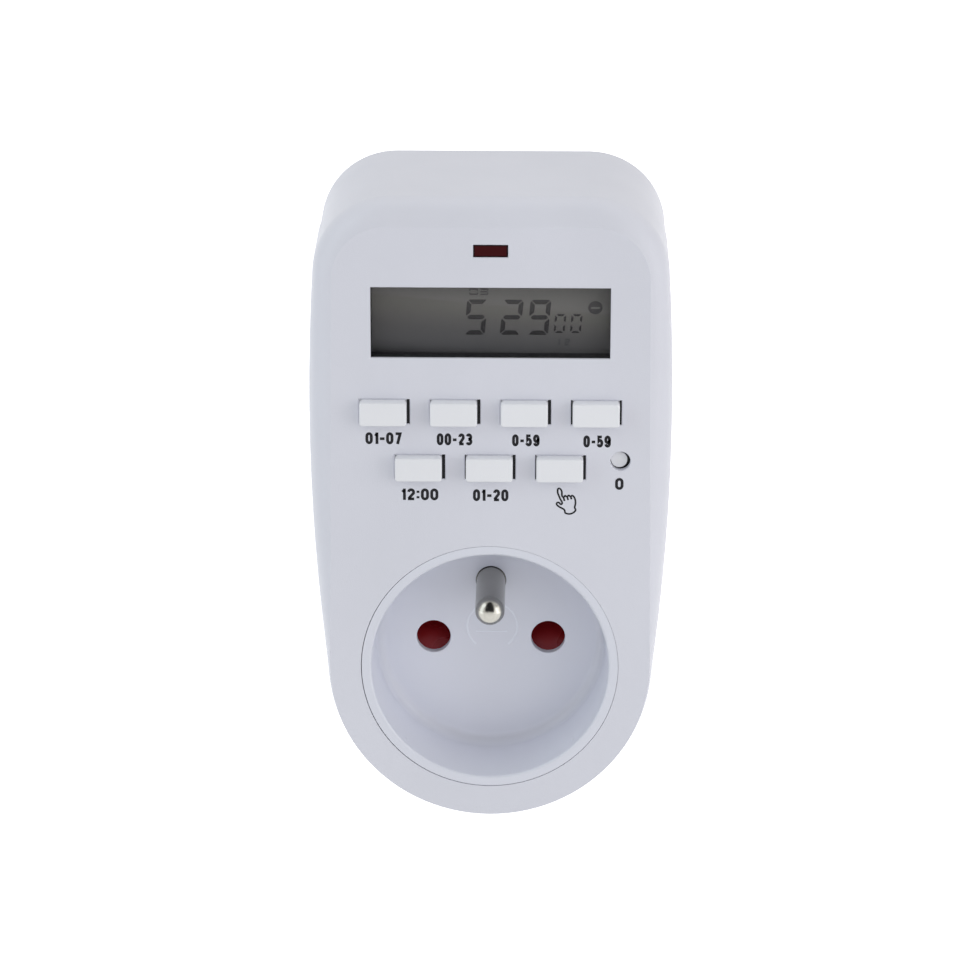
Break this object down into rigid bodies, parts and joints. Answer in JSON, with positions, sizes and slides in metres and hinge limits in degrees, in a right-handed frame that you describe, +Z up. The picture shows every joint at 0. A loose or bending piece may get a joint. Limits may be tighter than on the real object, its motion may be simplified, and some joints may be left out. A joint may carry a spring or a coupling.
{
  "type": "plug-in timer",
  "caption": "Digital plug-in timer: white housing with a display, press keys and a shuttered outlet in front, and a two-pin plug with side earth strips behind.",
  "frame": {"origin": "midway between the two plug pins, on the end face of the plug", "axes": "+Y towards the wall, along the plug pins; +Z up, along the housing's length; +X to the right seen from the front"},
  "size_m": [0.0584, 0.0724, 0.1048],
  "materials": {
    "housing": "satin moulded white plastic",
    "outlet": "smooth white plastic",
    "carrier": "natural plastic",
    "key": "satin white plastic",
    "shutter": "deep red plastic",
    "window": "clear smoked window",
    "lens": "dark red lens",
    "lamp": "red lamp body",
    "display": "grey segment display",
    "elastomer": "pink layered rubber",
    "black_plastic": "black moulded plastic",
    "plunger": "pale plastic",
    "nickel": "bright nickel plating",
    "brass": "bare brass",
    "steel": "zinc-plated steel",
    "board": "green coated laminate",
    "film": "yellow box",
    "can": "sleeved can",
    "varistor": "blue coated disc"
  },
  "bodies": {
    "housing": {"back_cover": "housing", "backup_battery": "steel", "board_header": "black_plastic", "board_screws": "steel", "carrier_screws": "steel", "contact_carrier": "carrier", "control_board": "board", "display_window": "window", "earth_sleeve": "brass", "earth_strap": "brass", "electrolytic_capacitor": "can", "film_capacitor": "film", "front_cover": "housing", "housing_screws": "steel", "indicator_led": "lamp", "indicator_lens": "lens", "lcd_connector": "elastomer", "lcd_frame": "black_plastic", "lcd_panel": "display", "live_busbar": "brass", "live_contact": "brass", "live_pin": "nickel", "lower_earth_clip": "nickel", "neutral_busbar": "brass", "neutral_contact": "brass", "neutral_link": "brass", "neutral_pin": "nickel", "outlet_earth_pin": "nickel", "outlet_insert": "outlet", "pin_retainer": "carrier", "power_board": "board", "power_screws": "steel", "quartz_crystal": "steel", "rectifier_diodes": "black_plastic", "relay": "black_plastic", "shutter_spring": "steel", "switch_bases": "black_plastic", "switched_link": "brass", "timer_chip": "black_plastic", "upper_earth_clip": "nickel", "varistor": "varistor"},
    "body_key_week": {"key_week": "key", "plunger_week": "plunger"},
    "body_key_hour": {"key_hour": "key", "plunger_hour": "plunger"},
    "body_key_minute": {"key_minute": "key", "plunger_minute": "plunger"},
    "body_key_second": {"key_second": "key", "plunger_second": "plunger"},
    "body_key_clock": {"key_clock": "key", "plunger_clock": "plunger"},
    "body_key_program": {"key_program": "key", "plunger_program": "plunger"},
    "body_key_manual": {"key_manual": "key", "plunger_manual": "plunger"},
    "reset": {"reset_button": "key", "plunger_reset": "plunger"},
    "shutter": {"safety_shutter": "shutter"}
  },
  "joints": [
    {"name": "press_week", "type": "slide", "parent": "housing", "child": "body_key_week", "axis": [0, 1, 0], "range_m": [0, 0.0005], "stiffness_N_per_m": 500, "springref_m": -0.0004},
    {"name": "press_hour", "type": "slide", "parent": "housing", "child": "body_key_hour", "axis": [0, 1, 0], "range_m": [0, 0.0005], "stiffness_N_per_m": 500, "springref_m": -0.0004},
    {"name": "press_minute", "type": "slide", "parent": "housing", "child": "body_key_minute", "axis": [0, 1, 0], "range_m": [0, 0.0005], "stiffness_N_per_m": 500, "springref_m": -0.0004},
    {"name": "press_second", "type": "slide", "parent": "housing", "child": "body_key_second", "axis": [0, 1, 0], "range_m": [0, 0.0005], "stiffness_N_per_m": 500, "springref_m": -0.0004},
    {"name": "press_clock", "type": "slide", "parent": "housing", "child": "body_key_clock", "axis": [0, 1, 0], "range_m": [0, 0.0005], "stiffness_N_per_m": 500, "springref_m": -0.0004},
    {"name": "press_program", "type": "slide", "parent": "housing", "child": "body_key_program", "axis": [0, 1, 0], "range_m": [0, 0.0005], "stiffness_N_per_m": 500, "springref_m": -0.0004},
    {"name": "press_manual", "type": "slide", "parent": "housing", "child": "body_key_manual", "axis": [0, 1, 0], "range_m": [0, 0.0005], "stiffness_N_per_m": 500, "springref_m": -0.0004},
    {"name": "press_reset", "type": "slide", "parent": "housing", "child": "reset", "axis": [0, 1, 0], "range_m": [0, 0.0005], "stiffness_N_per_m": 500, "springref_m": -0.0004},
    {"name": "shutter_slide", "type": "slide", "parent": "housing", "child": "shutter", "axis": [0, 0, -1], "range_m": [0, 0.0065], "stiffness_N_per_m": 60, "springref_m": -0.005, "deforming": ["shutter_spring"]}
  ]
}
